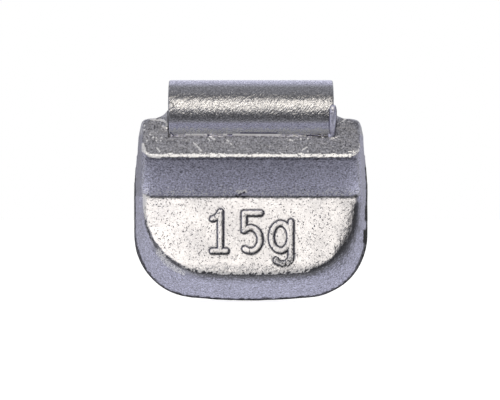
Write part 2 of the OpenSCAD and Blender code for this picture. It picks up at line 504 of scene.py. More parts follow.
def zinc_material(settings):
    """Bright die-cast zinc: fine grain, pits, scratches and rubbed edges, with painted shade and painted
    highlights.
    """
    material, tree, surface, place = start_material("cast_zinc")
    grain = use_group(tree, "fine_grain", place, Scale=settings.grain_scale)
    coarse = use_group(tree, "fine_grain", place, Scale=settings.grain_scale * 0.36)
    specks = use_group(tree, "specks", place, Scale=3.6, Limit=0.655)
    small = use_group(tree, "specks", place, Scale=7.0, Limit=0.642)
    streaks = use_group(tree, "streaks", place, Turn=0.95, Stretch=3.0, Scale=7.0)
    combed = use_group(tree, "streaks", place, Turn=1.45, Stretch=3.0, Scale=6.0)
    notches = use_group(tree, "streaks", place, Turn=1.3, Stretch=2.6, Scale=4.0)
    bulge = value_of(tree, "bulge")
    fringe = value_of(tree, "fringe")
    dark = value_of(tree, "dark")
    # Pits, painted shade in creases, and rubbed edges.
    pits = product(tree, math_node(tree, "MAXIMUM", specks, small), 0.85)
    worn = product(tree, value_of(tree, "pitting"), ramp(tree, grain, 0.50, 0.58, 0.0, 0.8))
    pits = math_node(tree, "MAXIMUM", pits, worn)
    rubbed = product(tree, ramp(tree, bulge, 0.12, 0.36), ramp(tree, coarse, 0.36, 0.56))
    base = mix_color(tree, pits, toned(tree, settings, grain), PIT)
    # Painted shade: concave creases, where the bulge is below 0, are darkened.
    base = mix_color(tree, ramp(tree, bulge, -0.08, -0.28), base, CREASE_SHADE)
    base = mix_color(tree, rubbed, base, RUBBED_ZINC)
    # Painted shade: the dark line round the face.
    line = value_of(tree, "shade")
    shade = math_node(tree, "ADD", line, centred(tree, combed, 2.2))
    shade = product(tree, ramp(tree, shade, 0.16, 0.86, 0.0, 0.82), ramp(tree, line, 0.0, 0.15))
    base = mix_color(tree, shade, base, EDGE_SHADE_COLOR)
    # Bright marks: painted highlights, which break up into teeth in the fringe.
    marks = value_of(tree, "bright")
    teeth = product(tree, centred(tree, notches, 5.5), fringe)
    spread = math_node(tree, "ADD", centred(tree, grain, 1.7), teeth)
    bright = ramp(tree, math_node(tree, "ADD", marks, spread), 0.28, 0.55)
    bright = product(tree, bright, ramp(tree, marks, 0.0, 0.2))
    base = mix_color(tree, bright, base, BRIGHT)
    # Painted black shade on the rim, the right strip and beside the clip.
    base = mix_color(tree, dark, base, SHADE_BLACK)
    dull = product(tree, bright, ramp(tree, fringe, 0.0, 0.6, 0.65, 1.0))
    clean = math_node(tree, "SUBTRACT", 1.0, dark)
    metallic = product(tree, math_node(tree, "SUBTRACT", 1.0, dull), clean)
    patches = noise_node(tree, place, 0.35, 3.0)
    rough = ramp(tree, patches, 0.3, 0.7, settings.roughness - 0.04, settings.roughness + 0.05)
    rough = math_node(tree, "ADD", rough, product(tree, dark, 0.5))
    heights = (
        (coarse, 0.035, 0.7),
        (grain, 0.03, 0.9),
        (streaks, 0.02, 0.7),
        (product(tree, combed, fringe), 0.03, 1.0),
        (math_node(tree, "SUBTRACT", 1.0, pits), 0.04, 0.8),
    )
    normal = bump_chain(tree, heights)
    feed(tree, surface, {"Base Color": base, "Metallic": metallic, "Roughness": rough, "Normal": normal})
    return material


def steel_material(settings):
    """Plated spring steel with a fine slanting grain."""
    material, tree, surface, place = start_material("spring_steel")
    grain = use_group(tree, "fine_grain", place, Scale=settings.grain_scale)
    streaks = use_group(tree, "streaks", place, Turn=0.95, Stretch=4.0, Scale=6.4)
    streaks = product(tree, streaks, ramp(tree, value_of(tree, "calm"), 0.0, 0.5, 1.0, 0.06))
    specks = use_group(tree, "specks", place, Scale=5.0, Limit=0.67)
    marks = value_of(tree, "bright")
    base = mix_color(tree, specks, toned(tree, settings, grain), STEEL_PIT)
    base = mix_color(tree, ramp(tree, value_of(tree, "bulge"), 0.14, 0.4), base, RUBBED_STEEL)
    # Painted highlight on the flash at the clip's root.
    base = mix_color(tree, marks, base, BRIGHT)
    metallic = ramp(tree, marks, 0.0, 1.0, 1.0, 0.15)
    normal = bump_chain(tree, ((grain, 0.032, 1.0), (streaks, 0.085, 1.0)))
    rough = settings.roughness
    feed(tree, surface, {"Base Color": base, "Metallic": metallic, "Roughness": rough, "Normal": normal})
    return material


# Pieces


class CastBodySettings(bpy.types.PropertyGroup):
    """Settings of the cast body."""

    voxel: bpy.props.FloatProperty(name="Skin step", description="Size of the faces, in mm", default=0.168)
    mark_height: bpy.props.FloatProperty(
        name="Mark height", description="Height of the mark, in mm", default=0.2
    )
    unevenness: bpy.props.FloatProperty(
        name="Unevenness", description="Waves of the casting, in mm", default=0.02
    )
    roughness: bpy.props.FloatProperty(
        name="Roughness", description="Blur of the reflections", default=0.36, min=0.0, max=1.0,
        subtype="FACTOR",
    )
    grain_scale: bpy.props.FloatProperty(
        name="Grain scale", description="Grains in a millimetre", default=5.8
    )
    mottle: bpy.props.FloatProperty(name="Mottle", description="Spread of the metal's tone", default=0.62)
    land: bpy.props.FloatProperty(
        name="Worn edge", description="Depth of the worn front edge, in mm", default=0.07
    )
    metal: bpy.props.FloatVectorProperty(
        name="Metal", description="Colour of the zinc", default=(0.48, 0.48, 0.53), subtype="COLOR"
    )
    # The violet is a painted reflection tint on faces turned away from the lamp.
    violet: bpy.props.FloatVectorProperty(
        name="Violet", description="Colour of dull zinc", default=(0.46, 0.46, 0.59), subtype="COLOR"
    )


class ClipSettings(bpy.types.PropertyGroup):
    """Settings of the spring clip."""

    voxel: bpy.props.FloatProperty(name="Skin step", description="Size of the faces, in mm", default=0.12)
    roughness: bpy.props.FloatProperty(
        name="Roughness", description="Blur of the reflections", default=0.25, min=0.0, max=1.0,
        subtype="FACTOR",
    )
    grain_scale: bpy.props.FloatProperty(
        name="Grain scale", description="Grains in a millimetre", default=6.2
    )
    mottle: bpy.props.FloatProperty(name="Mottle", description="Spread of the metal's tone", default=0.42)
    metal: bpy.props.FloatVectorProperty(
        name="Metal", description="Colour of the steel", default=(0.42, 0.42, 0.455), subtype="COLOR"
    )
    # The violet is a painted reflection tint on the clip's leg and upturned crown.
    violet: bpy.props.FloatVectorProperty(
        name="Violet", description="Colour of dull steel", default=(0.41, 0.41, 0.52), subtype="COLOR"
    )


class StageSettings(bpy.types.PropertyGroup):
    """Settings of the lights and the surroundings."""

    lamp_power: bpy.props.FloatProperty(name="Lamp", description="Radiance of the lamp", default=2.16)
    hood_level: bpy.props.FloatProperty(name="Hood", description="Level of the upper hood", default=0.36)
    floor_level: bpy.props.FloatProperty(
        name="Floor", description="Level of the floor's own light", default=0.75
    )


def hill(value, centre, width):
    """1 at the centre, falling off to 0 on both sides."""
    return np.exp(-((value - centre) / width) ** 2)


def top_plane(z):
    """The depth of the flat top face at each height."""
    return NOSE_Y + (z - NOSE_Z) * math.tan(math.radians(TOP_LEAN))


def shape_face_edges(co, pairs):
    """Rounds the face's right and lower edge, and leaves the left one crisp."""
    x, y, z = co.T
    depth = smooth(5.4 - y, 0.0, 1.4) * (z < -9.2)
    right = smooth(x, 8.0, 9.0) * smooth(-z, 9.2, 10.2)
    low = smooth(-z, 13.6, 15.0)
    left = smooth(-x, 5.0, 6.5) * smooth(-z, 13.0, 14.2)
    weight = depth * np.maximum(0.9 * right, 0.03 * low * (1.0 - left) + 0.01 * left)
    return relax(co, pairs, 0.5 * weight, 70)


def lay_webs(co):
    """Lets the cast webs lean back into the top face towards their outer ends."""
    ahead = top_plane(co[:, 2]) - co[:, 1]
    out = np.clip((np.abs(co[:, 0]) - CLIP_EDGE) / 0.8, 0.0, 1.0)
    on_web = (ahead > 0.0) & (out > 0.0) & (co[:, 2] > -2.6)
    co[on_web, 1] += ahead[on_web] * (1.0 - (1.0 - out[on_web]) ** 1.6)
    return co


def mark_profile(co, no):
    """The vertices near the mark, their distance to its strokes, their side away from light, and its tail."""
    x, y, z = co.T
    near = (np.abs(x) < 5.2) & (z < -9.6) & (z > -15.9) & (no[:, 1] < -0.2)
    near &= (y > FACE_Y - 0.4) & (y < FACE_Y + 0.3)
    p = co[near][:, [0, 2]]
    offset = offset_from_lines(p, mark_strokes())
    best = np.linalg.norm(offset, axis=1)
    away = (offset[:, 0] - 0.9 * offset[:, 1]) / np.maximum(best, 1e-6) / 1.35
    tail = smooth(-p[:, 1], 14.3, 15.0) * smooth(p[:, 0], 1.9, 2.4)
    return near, best, away, tail


def raise_mark(co, no, height):
    """Raises the mark's rounded ridges out of the face."""
    near, best, away, tail = mark_profile(co, no)
    ragged = uneven(co[near], 0.35, 3)
    wide = 0.34 + 0.02 * ragged + tail * 0.10 * ragged
    flank = 0.10 + 0.07 * smooth(away, -0.2, 0.6)
    lift = 1.0 - smooth(best, wide - flank, wide)
    lift = lift * (1.0 + 0.02 * ragged - 0.45 * tail * (0.4 + 0.8 * ragged))
    groove = hill(best - wide, 0.03, 0.04) * 0.03
    co[near, 1] -= height * lift - groove
    return co


def mark_tones(co, no):
    """The tone of the mark: painted shade as a dark outline and a dark lower right flank of its ridges."""
    near, best, away, tail = mark_profile(co, no)
    ragged = uneven(co[near], 0.2, 23)
    outline = hill(best, 0.355, 0.045) * (0.85 + 0.3 * ragged)
    flank = smooth(best, 0.02, 0.08) * (1.0 - smooth(best, 0.34, 0.38)) * smooth(away, 0.1, 0.45)
    blot = tail * smooth(ragged, -0.1, 0.3) * (1.0 - smooth(best, 0.25, 0.45))
    dark = np.clip(0.9 * outline + (0.45 + 0.4 * ragged) * flank + 0.6 * blot, 0.0, 0.92)
    top = 0.05 * (1.0 - smooth(best, 0.14, 0.22))
    tone = np.ones(len(co))
    tone[near] = (1.0 - dark) * (1.0 - top)
    return tone


def wear_front_edge(co, depth):
    """Flattens the nose's front edge into a ragged narrow land, wider at its corners."""
    near = (co[:, 1] < NOSE_Y + 0.6) & (np.abs(co[:, 2] - NOSE_Z) < 1.6)
    p = co[near]
    along = uneven(p, 0.4, 4)
    across = uneven(p, 0.13, 14)
    corner = smooth(np.abs(p[:, 0]), 8.8, 9.8)
    limit = NOSE_Y + depth * (0.9 + 1.1 * along + 1.0 * across + 1.1 * corner)
    low = p[:, 1] < limit
    p[low, 1] = limit[low]
    co[near] = p
    return co


def line_mask(p, lines, width):
    """Mask of 1 on the lines, in X and Z, with soft sides."""
    return 1.0 - smooth(distance_to_lines(p, lines), 0.5 * width, width)


def dark_strip(co, no):
    """Painted shade: the dark broken strip along the right outline, as the camera sees it."""
    level = CAMERA_AT[2]
    nearer = -CAMERA_AT[1] / (co[:, 1] - CAMERA_AT[1])
    seen_x = co[:, 0] * nearer
    deep = -level - (co[:, 2] - level) * nearer
    row = np.clip((deep * 4.0).astype(int) + 8, 0, 99)
    edge = np.zeros(100)
    np.maximum.at(edge, row, seen_x)
    inward = edge[row] - seen_x
    width = 0.12 * smooth(deep, 3.8, 4.2)
    width = width + 0.13 * smooth(deep, 9.6, 9.8) * (1.0 - smooth(deep, 11.0, 11.2))
    width = width + 0.27 * smooth(deep, 11.8, 12.1) - 0.30 * smooth(deep, 13.2, 13.5)
    width = width + 0.08 * uneven(co, 0.4, 12)
    strip = (1.0 - smooth(inward, width - 0.03, width + 0.05)) * (no[:, 1] < 0.5) * (co[:, 0] > 0.0)
    start = 5.9 - 0.7 * smooth(deep, 11.8, 12.1) - 0.3 * uneven(co, 0.5, 19)
    return strip * smooth(co[:, 1] - start, -0.1, 0.2)


def body_black_shade(co, no):
    """Painted black shade: the rim beside the seat, the strip on the right and the shadow beside the clip."""
    x, y, z = co.T
    ragged = uneven(co, 0.4, 12)
    start = 7.0 - 0.5 * smooth(np.abs(no[:, 0]), 0.6, 0.9) + 0.25 * ragged
    rim = smooth(y, start - 0.08, start + 0.08) * (no[:, 1] < 0.5)
    rim = np.clip(rim * (0.85 + 0.4 * ragged), 0.0, 1.0)
    clip_gap_shadow = (1.0 - smooth(np.abs(x), CLIP_EDGE + 0.05, CLIP_EDGE + 0.14)) * (np.abs(x) > CLIP_EDGE - 0.05)
    clip_gap_shadow = clip_gap_shadow * (x < 0.0) * (z < -0.5) * (z > -3.2) * (no[:, 1] < -0.05)
    return np.maximum(np.maximum(rim, dark_strip(co, no)), 0.9 * clip_gap_shadow)


def is_top_face(co, no):
    """Which vertices lie on the top face and the webs."""
    z = co[:, 2]
    return (no[:, 1] < -0.05) & (z > NOSE_Z - 0.1) & ((no[:, 2] > -0.1) | (z > -2.6))


def top_marks(co, no):
    """Scratches, spots and the flash on the top face, painted bright as their highlights, and a painted
    highlight on the web's edge.
    """
    on_top = is_top_face(co, no)
    p = co[on_top][:, [0, 2]]
    scratches = line_mask(p, SCRATCHES, 0.09) * smooth(uneven(co[on_top], 0.25, 9), -0.45, 0.1)
    away = np.full(len(p), 1e9)
    for spot in SPOTS:
        away = np.minimum(away, np.linalg.norm(p - np.array(spot), axis=1))
    spots = 1.0 - smooth(away, 0.05, 0.13)
    flash = line_mask(p, ROOT_FLASH, FLASH_WIDTH)
    web_edge = line_mask(p, WEB_EDGE, 0.15)
    bright = np.zeros(len(co))
    bright[on_top] = np.maximum(np.maximum(scratches, flash), np.maximum(spots, web_edge))
    return bright


def front_edge_marks(co, no):
    """Painted highlights on the nose's worn front edge, with its crescent and its turn up both sides."""
    x, y, z = co.T
    front = no[:, 1] < -0.05
    worn = smooth(-no[:, 1], 0.94, 0.985) * smooth(uneven(co, 0.2, 22), -0.75, -0.3)
    worn = worn * (front & (np.abs(y - NOSE_Y) < 0.34) & (np.abs(z - NOSE_Z) < 0.6) & (no[:, 1] < -0.94))
    crescent = line_mask(co[:, [0, 2]], CRESCENT_HIGHLIGHT, 0.17) * (no[:, 1] < -0.3) * (y < NOSE_Y + 0.6)
    crescent = crescent * smooth(uneven(co, 0.3, 16), -1.0, -0.4)
    reach = 1.0 + 0.9 * (x < 0.0)
    turn = 1.0 - smooth(np.abs(no[:, 2] - 0.03), 0.14, 0.28)
    turn = turn * (1.0 - smooth(np.abs(y - top_plane(z)) / reach, 0.1, 0.3))
    turn = turn * smooth(uneven(co, 0.2, 15), -0.6, -0.1)
    turn = turn * ((np.abs(x) > 8.9) & (z > -5.2) & (z < -3.7) & front)
    return np.maximum(np.maximum(worn, crescent), turn)


def face_marks(co, no):
    """Painted highlights round the face: on the rough patch, the teeth, the burr and the upper left corner.
    """
    x, y, z = co.T
    front = no[:, 1] < -0.05
    p = co[:, [0, 2]]
    patch = 1.0 - smooth(distance_to_lines(p, PATCH), 0.22, 0.5)
    patch = patch * front * (np.abs(y - FACE_Y) < 1.2) * (no[:, 1] > -0.985)
    burr = line_mask(p, BURR, 0.12) * front
    reach = -10.62 + 0.45 * smooth(-z, 9.5, 12.0)
    corner = smooth(x, reach - 0.1, reach + 0.1) * (x < -9.5) * front
    corner = corner * (y < FACE_Y + 0.6) * (1.0 - smooth(-z, 10.5, 12.5))
    corner = corner * smooth(-z - 0.35 * smooth(x, -10.4, -9.8), 8.45, 8.6)
    corner = corner * (1.0 - smooth(-no[:, 1], 0.97, 0.99))
    marks = np.maximum(0.43 * patch, 0.53 * fringe_share(co, no))
    return np.maximum(marks, np.maximum(0.8 * burr, 0.75 * corner))


def body_light_and_shade(co, no):
    """Painted light and shade on each face of the casting, with its dark lines and gaps."""
    x, y, z = co.T
    ahead = -no[:, 1]
    front = ahead > 0.05
    p = co[:, [0, 2]]
    # Painted light: the band grows lighter towards its lower end.
    band = smooth(-no[:, 2], 0.45, 0.6) * (z > -9.3) * (y < FACE_Y + 0.1) * front
    down = np.clip((NOSE_Z - z) / 4.0, 0.0, 1.0)
    tone = 1.0 - band + band * (0.66 + 0.40 * down + 0.84 * down * down)
    # Painted shade on the top face and the upper left wall, and painted light on the face's left side.
    top = smooth(no[:, 2], 0.2, 0.35) * (z > NOSE_Z - 0.1) * front
    shaded_left_wall = side_wall(co, no) * (x < 0.0) * (z > -8.8)
    face = smooth(ahead, 0.9, 0.97) * (z < -9.0) * smooth(-x, 4.5, 10.0)
    tone = tone * (1.0 - 0.06 * top) * (1.0 - 0.32 * shaded_left_wall) * (1.0 + 0.14 * face)
    # Painted shade where the webs meet the top face.
    foot = smooth(np.abs(x), 7.8, 8.0) * (1.0 - smooth(np.abs(x), 9.6, 10.0))
    foot = foot * front * smooth(z, -2.75, -2.4) * (1.0 - smooth(z, -1.9, -1.6))
    # Painted shadow in the gaps beside the clip's root.
    gaps = line_mask(p, ROOT_GAP_SHADOWS, 0.115) * is_top_face(co, no)
    tone = tone * (1.0 - 0.15 * foot) * (1.0 - 0.85 * gaps) * (1.0 - 0.32 * root_shade_share(co, no))
    # Painted shade under the nose's front edge and in the crease where the band meets the face.
    under = hill(z, NOSE_Z - 0.22, 0.10) * (no[:, 2] < -0.3) * (y < NOSE_Y + 0.6)
    under = np.clip(under * (0.65 + 0.8 * uneven(co, 0.22, 17)), 0.0, 1.0)
    crease_z = NOSE_Z - (FACE_Y - NOSE_Y) * math.tan(math.radians(BAND_SLOPE))
    groove = hill(z, crease_z, 0.075) * (np.abs(y - FACE_Y) < 0.25) * front
    groove = np.clip(groove * (0.75 + 0.6 * uneven(co, 0.3, 18)), 0.0, 0.9)
    burr_pits = line_mask(p, BURR_PITS, 0.13) * front
    return tone * (1.0 - 0.85 * under) * (1.0 - groove) * (1.0 - 0.8 * burr_pits)


def side_wall(co, no):
    """How much each vertex belongs to the casting's side walls."""
    return smooth(np.abs(no[:, 0]), 0.6, 0.85) * (no[:, 1] < -0.05) * (co[:, 2] < -2.9)


def body_violet(co, no):
    """Where the painted violet reflection tint goes: the band, the plate's wall and the side walls."""
    y, z = co[:, 1], co[:, 2]
    front = no[:, 1] < -0.05
    band = smooth(-no[:, 2], 0.45, 0.6) * (z > -9.3) * (y < FACE_Y + 0.1) * front
    outer = smooth(y, FACE_Y + 0.2, FACE_Y + 0.9) * (z < -9.0) * front
    return np.maximum(0.8 * band, 0.9 * np.maximum(outer, side_wall(co, no)))


def body_calm(co, no):
    """Where the mottle is weak: on the face and the back, and less than usual on the plate's wall."""
    low = co[:, 2] < -9.0
    calm = smooth(-no[:, 1], 0.9, 0.98) * low
    calm = calm - 0.7 * smooth(co[:, 1], FACE_Y + 0.5, FACE_Y + 1.2) * low
    return np.maximum(calm, 0.55 * smooth(no[:, 1], 0.2, 0.6))


def fringe_share(co, no):
    """Where the face's painted reflection runs on and breaks up into teeth over its lower edge."""
    x, y, z = co.T
    share = smooth(-no[:, 1], 0.70, 0.93) * (1.0 - smooth(-no[:, 1], 0.990, 0.998))
    share = share * smooth(-no[:, 2], 0.03, 0.12)
    share = share * smooth(x, -7.0, -6.2) * (1.0 - smooth(x, 4.0, 7.5))
    return share * (z < -14.5) * (np.abs(y - FACE_Y) < 0.6)


def edge_shade(co, no, pairs):
    """How deep each vertex lies in the painted shade that runs round the face as a dark line, wide at the
    right and below.
    """
    x, y, z = co.T
    ahead = -no[:, 1]
    aside = np.abs(no[:, 0]) / np.maximum(np.abs(no[:, 0]) + np.abs(no[:, 2]), 1e-6)
    broad = smooth(x, -7.0, -4.0)
    low = 0.34 + 0.24 * (1.0 - aside) + 0.2 * (1.0 - broad)
    shade = (1.0 - smooth(ahead, 0.90, 0.98)) * smooth(ahead, low, low + 0.12)
    depth = y - FACE_Y
    wall = (1.0 - smooth(ahead, low + 0.06, low + 0.12)) * (ahead > 0.05) * (1.0 - smooth(depth, 0.0, 1.9))
    shade = np.maximum(shade * (0.6 + 0.4 * broad), 0.95 * broad * wall)
    shade = shade * smooth(distance_to_lines(co[:, [0, 2]], PATCH), 0.2, 0.5)
    shade = shade * smooth(-z, 8.9, 9.6) * (depth < 2.0) * (depth > -0.1)
    everywhere = np.ones(len(co))
    spread = relax(shade[:, None], pairs, everywhere, 26)
    wider = relax(spread, pairs, everywhere, 50)[:, 0] * smooth(x, 6.5, 8.5)
    spread = np.maximum(1.15 * spread[:, 0], 1.3 * wider) * smooth(x, -7.0, -5.5) * (z < -9.2)
    return np.maximum(shade, spread)


def root_shade_share(co, no):
    """The edge of the cast top face along the clip's root, which is not rubbed and is given painted shade."""
    share = smooth(co[:, 2], -3.25, -3.05) * (1.0 - smooth(np.abs(co[:, 0]), 7.5, 7.8))
    return share * (co[:, 2] < -2.4) * (no[:, 1] < -0.2)


def body_pitting(co, no):
    """Where the casting is rough and pitted."""
    front = smooth(-no[:, 1], 0.2, 0.6)
    x = co[:, 0]
    z = co[:, 2]
    corner = smooth(-x, 5.0, 6.2) * smooth(-z, 13.0, 13.8) * (z > -17.0)
    corner = corner * smooth(co[:, 1], FACE_Y, FACE_Y + 0.15)
    spread = uneven(co, 1.2, 8)
    pitting = corner * front * smooth(spread, -0.7, 0.2)
    pitting = pitting * (1.0 - smooth(co[:, 1], FACE_Y + 0.7, FACE_Y + 1.1))
    cluster = np.exp(-((x + 0.7) ** 2 / 0.45 + (z + 8.72) ** 2 / 0.10))
    rim = smooth(x, 7.4, 9.4) * (co[:, 1] < FACE_Y + 0.3) * (z < -9.2) * 0.3
    foot = smooth(-z, 15.0, 15.8) * (z > -16.8) * (co[:, 1] < FACE_Y + 1.0) * 0.4
    return np.clip(np.maximum(np.maximum(pitting, cluster), front * np.maximum(rim, foot)), 0.0, 1.0)


def settle_body(co, pairs):
    """Softens the skin's steps, lays the webs back, lifts their roots and rounds the face's edges."""
    co = relax(co, pairs, 0.5 * np.ones(len(co)), 1)
    co = lay_webs(co)
    x, y, z = co.T
    web = smooth(np.abs(x), 7.9, 8.2) * (z > -2.8) * (y < 0.6)
    co = relax(co, pairs, 0.5 * web, 4)
    x, y, z = co.T
    corner = smooth(np.abs(x), 9.5, 10.1) * smooth(z, -2.8, -2.0)
    co = relax(co, pairs, 0.5 * corner, 16)
    x, y, z = co.T
    rise = smooth(z, -3.2, -1.5) * smooth(np.abs(x), 7.8, 8.2) * smooth(2.2 - y, 0.0, 1.2)
    co[:, 2] += rise * (0.13 - 0.05 * smooth(x, -8.0, 8.0))
    return shape_face_edges(co, pairs)


def fine_places(co, no):
    """Where the body's skin needs finer faces: face, top face, webs, burr and front edge."""
    x, y, z = co.T
    ahead = -no[:, 1]
    face = (ahead > 0.8) & (y < FACE_Y + 0.25) & (z < -9.0)
    top = (ahead > 0.7) & (no[:, 2] > -0.1) & (z > -5.4) & (y < 0.4)
    web = (np.abs(x) > 7.8) & (z > -2.8) & (y < 0.6) & (ahead > -0.2)
    burr = (np.abs(x + 0.9) < 0.8) & (np.abs(z + 8.5) < 0.5) & (ahead > 0.2)
    return face | top | web | burr | (np.hypot(y - NOSE_Y, z - NOSE_Z) < 0.5)


def build_body(settings):
    """The cast body's skin with its mark, worn edges, waves and pits."""
    obj = remeshed(copy_of_node("weight_body", "cast_body"), settings.voxel)
    mesh = obj.data
    store(mesh, settle_body(coords(mesh), edge_pairs(mesh)))
    co = coords(mesh)
    refined(mesh, fine_places(co, normals(mesh)))
    co = coords(mesh)
    near, best = mark_profile(co, normals(mesh))[:2]
    strokes = np.zeros(len(co), dtype=bool)
    strokes[near] = best < 0.5
    refined(mesh, strokes)
    no = normals(mesh)
    co = raise_mark(coords(mesh), no, settings.mark_height)
    waves = settings.unevenness * uneven(co, 2.6, 1) + 0.008 * uneven(co, 0.7, 2)
    co = co + no * (waves * (1.0 - 0.7 * smooth(no[:, 1], 0.3, 0.8)))[:, None]
    co = wear_front_edge(co, settings.land)
    low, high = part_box("weight_body")
    co = fit_box(co, low, high)
    store(mesh, co)
    no = normals(mesh)
    pitting = body_pitting(co, no)
    pits = np.maximum(uneven(co, 0.28, 5), 0.0) * 0.09 * pitting
    co = fit_box(co - no * pits[:, None], low, high)
    store(mesh, co)
    no = normals(mesh)
    pairs = edge_pairs(mesh)
    near, best = mark_profile(co, no)[:2]
    off_mark = np.ones(len(co))
    off_mark[near] = smooth(best, 0.45, 0.7)
    bulge = bulge_of(co, no, pairs)
    marks = np.maximum(top_marks(co, no), face_marks(co, no))
    fringe = smooth(-no[:, 1], 0.80, 0.93) * (1.0 - smooth(-no[:, 1], 0.993, 0.999))
    add_values(
        mesh,
        bulge=np.where(bulge > 0.0, bulge * off_mark * (1.0 - root_shade_share(co, no)), bulge),
        tone=body_light_and_shade(co, no) * mark_tones(co, no),
        violet=body_violet(co, no),
        bright=np.maximum(marks, front_edge_marks(co, no)),
        dark=body_black_shade(co, no),
        pitting=pitting,
        calm=body_calm(co, no),
        fringe=fringe * (co[:, 2] < -9.5) * (no[:, 2] < 0.1) * off_mark,
        shade=edge_shade(co, no, pairs) * off_mark,
    )
    return obj


def settle_clip(co, pairs, no):
    """Flattens the front of the clip's leg."""
    flat = (no[:, 1] < -0.3) * smooth(-co[:, 2], 1.4, 1.8) * (np.abs(co[:, 0]) < 7.65)
    return relax(co, pairs, 0.5 * flat, 25)


def build_clip(settings):
    """The spring clip's skin."""
    obj = remeshed(copy_of_node("spring_clip", "rolled_clip"), settings.voxel)
    mesh = obj.data
    co = coords(mesh)
    pairs = edge_pairs(mesh)
    co = relax(co, pairs, 0.5 * np.ones(len(co)), 2)
    store(mesh, co)
    co = settle_clip(co, pairs, normals(mesh))
    store(mesh, co)
    x, y, z = co.T
    front = normals(mesh)[:, 1] < -0.3
    root = (z < -2.3) & (z > -3.5) & (y < 0.3)
    nick = (x < -7.0) & (z < 0.4) & (z > -0.6)
    refined(mesh, front & (root | nick))
    co = coords(mesh)
    wave = uneven(co * np.array([0.25, 1.0, 1.0]), 1.4, 6)
    co = fit_box(co + normals(mesh) * (0.003 * wave)[:, None], *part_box("spring_clip"))
    store(mesh, co)
    no = normals(mesh)
    x, y, z = co.T
    front = no[:, 1] < -0.3
    # Painted light and shade on the clip: the leg, its foot and the upturned crown lighter, a dark line below
    # the highlight, a darker band above it, and painted shadow in the gaps at the root.
    leg = front * smooth(-z, 1.5, 2.0)
    foot = leg * smooth(-z, 1.9, 2.6)
    crown = smooth(no[:, 2], 0.62, 0.88)
    under = hill(z, -1.25, 0.32) * front
    above = hill(z, 0.66, 0.22) * front
    tone = 1.0 + 0.66 * leg + 0.7 * foot + 0.6 * crown - 0.3 * under - 0.36 * above
    p = co[:, [0, 2]]
    add_values(
        mesh,
        bulge=bulge_of(co, no, edge_pairs(mesh)),
        tone=tone * (1.0 - 0.75 * line_mask(p, NICK + ROOT_GAP_SHADOWS, 0.072) * front),
        violet=np.maximum(leg, crown),
        calm=0.5 * np.maximum(leg, (y > 0.0) * smooth(no[:, 2], 0.2, 0.5)),
        bright=line_mask(p, ROOT_FLASH, FLASH_WIDTH) * front * (y < 0.3),
    )
    return obj


def tube(name, path, radii, sides=24, rounds=6):
    """A closed tube with round ends along a path."""
    points = [Vector(q) for q in path]
    first = (points[1] - points[0]).normalized()
    last = (points[-1] - points[-2]).normalized()
    turns = [0.5 * math.pi * i / (rounds + 0.5) for i in range(1, rounds + 1)]
    rings = []
    for a in reversed(turns):
        rings.append((points[0] - first * radii[0] * math.sin(a), first, radii[0] * math.cos(a)))
    for i, q in enumerate(points):
        way = (points[min(i + 1, len(points) - 1)] - points[max(i - 1, 0)]).normalized()
        rings.append((q, way, radii[i]))
    for a in turns:
        rings.append((points[-1] + last * radii[-1] * math.sin(a), last, radii[-1] * math.cos(a)))
    verts = []
    for centre, way, radius in rings:
        across = way.cross(Vector((1.0, 0.0, 0.0))).normalized()
        up = across.cross(way).normalized()
        for j in range(sides):
            b = 2.0 * math.pi * j / sides
            verts.append(tuple(centre + radius * (math.cos(b) * across + math.sin(b) * up)))
    faces = []
    for i in range(len(rings) - 1):
        for j in range(sides):
            k = (j + 1) % sides
            faces.append((i * sides + j, (i + 1) * sides + j, (i + 1) * sides + k, i * sides + k))
    faces.append(tuple(range(sides)))
    faces.append(tuple((len(rings) - 1) * sides + j for j in range(sides - 1, -1, -1)))
    return new_object(name, new_mesh(name, verts, faces))


def spline(points, count):
    """A smooth path through the points."""
    pts = [np.array(q, float) for q in points]
    pts = [2 * pts[0] - pts[1]] + pts + [2 * pts[-1] - pts[-2]]
    out = []
    spans = len(pts) - 3
    for i in range(count + 1):
        t = min(i * spans / count, spans - 1e-6)
        k = int(t)
        u = t - k
        a, b, c, d = pts[k:k + 4]
        square = (2 * a - 5 * b + 4 * c - d) * u ** 2
        cube = (3 * b - a - 3 * c + d) * u ** 3
        out.append(0.5 * (2 * b + (c - a) * u + square + cube))
    return out


def bead_path():
    """The bead's middle line: round the curl, down the leg and into the body."""
    line = []
    for angle in (10.5, 18.0, 28.0, 38.0):
        a = math.radians(angle)
        line.append((BEAD_X, -CURL_R * math.cos(a), -CURL_R * math.sin(a)))
    a = math.radians(LEG_ANGLE)
    for along in (0.5, 1.0, 1.5):
        y = -CURL_R * math.cos(a) + along * math.sin(a)
        z = -CURL_R * math.sin(a) - along * math.cos(a)
        line.append((BEAD_X + 0.02 * along, y, z))
    line.append((BEAD_X, -0.76, -2.88))
    line.append((BEAD_X - 0.20, -0.66, -3.03))
    return spline(line, BEAD_STEPS)


